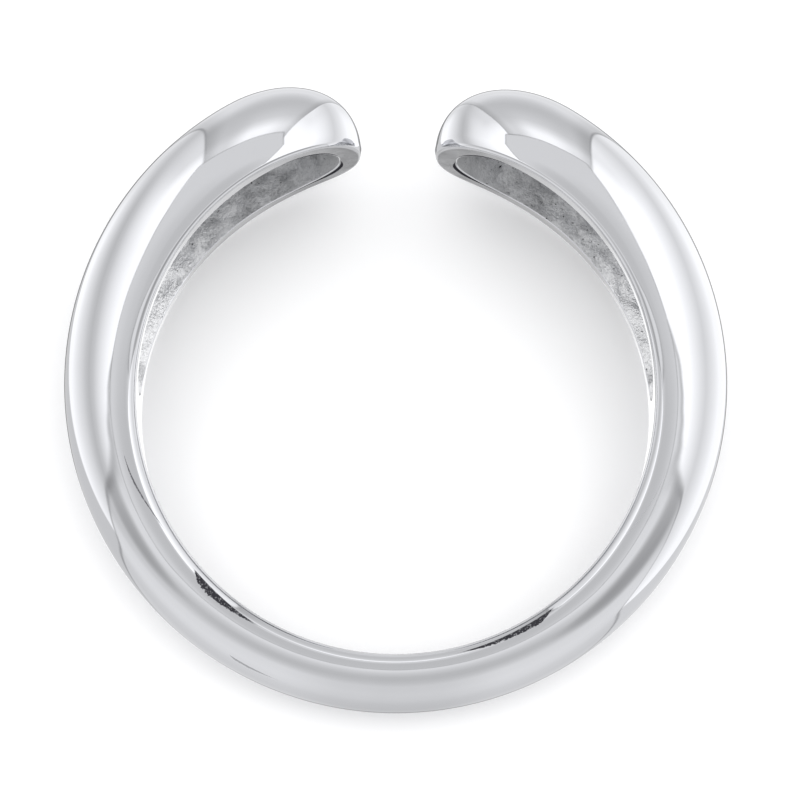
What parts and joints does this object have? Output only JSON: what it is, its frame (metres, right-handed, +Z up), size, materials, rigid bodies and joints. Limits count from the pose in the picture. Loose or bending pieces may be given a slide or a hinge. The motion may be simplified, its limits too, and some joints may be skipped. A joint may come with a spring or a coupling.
{
  "type": "adjustable open ring",
  "caption": "Polished open finger ring: a domed band that swells towards rounded, hollowed ends, with a gap between them so that it can be bent to fit.",
  "frame": {"origin": "on the floor, under the centre of the ring's outline as it lies on its side", "axes": "+Z up, with the finger axis leaning 6 degrees from it; +Y from the back of the band towards the gap; +X across, towards the right end seen from above with the gap away from the viewer"},
  "size_m": [0.0224, 0.0212, 0.0058],
  "materials": {
    "silver": "polished sterling silver, rough as cast inside the hollows"
  },
  "bodies": {
    "root": {"band": "silver"}
  },
  "joints": []
}
